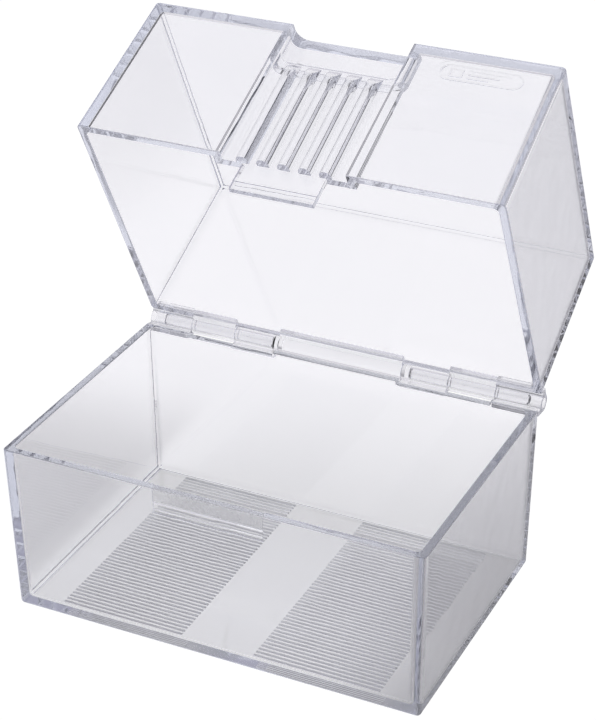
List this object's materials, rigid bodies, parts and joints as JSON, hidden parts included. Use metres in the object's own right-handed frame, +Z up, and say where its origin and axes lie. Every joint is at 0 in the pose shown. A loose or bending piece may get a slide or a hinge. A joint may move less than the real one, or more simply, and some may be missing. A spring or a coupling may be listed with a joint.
{
  "type": "card index box",
  "caption": "Clear plastic card index box for A7 cards, with a hinged lid on a back pin hinge, a ribbed grip with a latch tongue, and a ribbed floor that keeps cards upright.",
  "frame": {"origin": "centre of the tray's underside, on the surface that the box stands on", "axes": "+Z up, -Y the front with the latch, +X the width to the viewer's right; the lid is open on its stop at rest"},
  "size_m": [0.116, 0.1187, 0.1382],
  "materials": {
    "clear_moulding": "clear polished polystyrene",
    "clear_rod": "clear extruded rod"
  },
  "bodies": {
    "tray": {"base_tray": "clear_moulding", "hinge_pin_left": "clear_rod", "hinge_pin_right": "clear_rod"},
    "lid": {"lid_cover": "clear_moulding"}
  },
  "joints": [
    {"name": "lid_hinge", "type": "hinge", "parent": "tray", "child": "lid", "pos_m": [0, 0.0415, 0.0476], "axis": [1, 0, 0], "range_deg": [0, 63.8]}
  ]
}
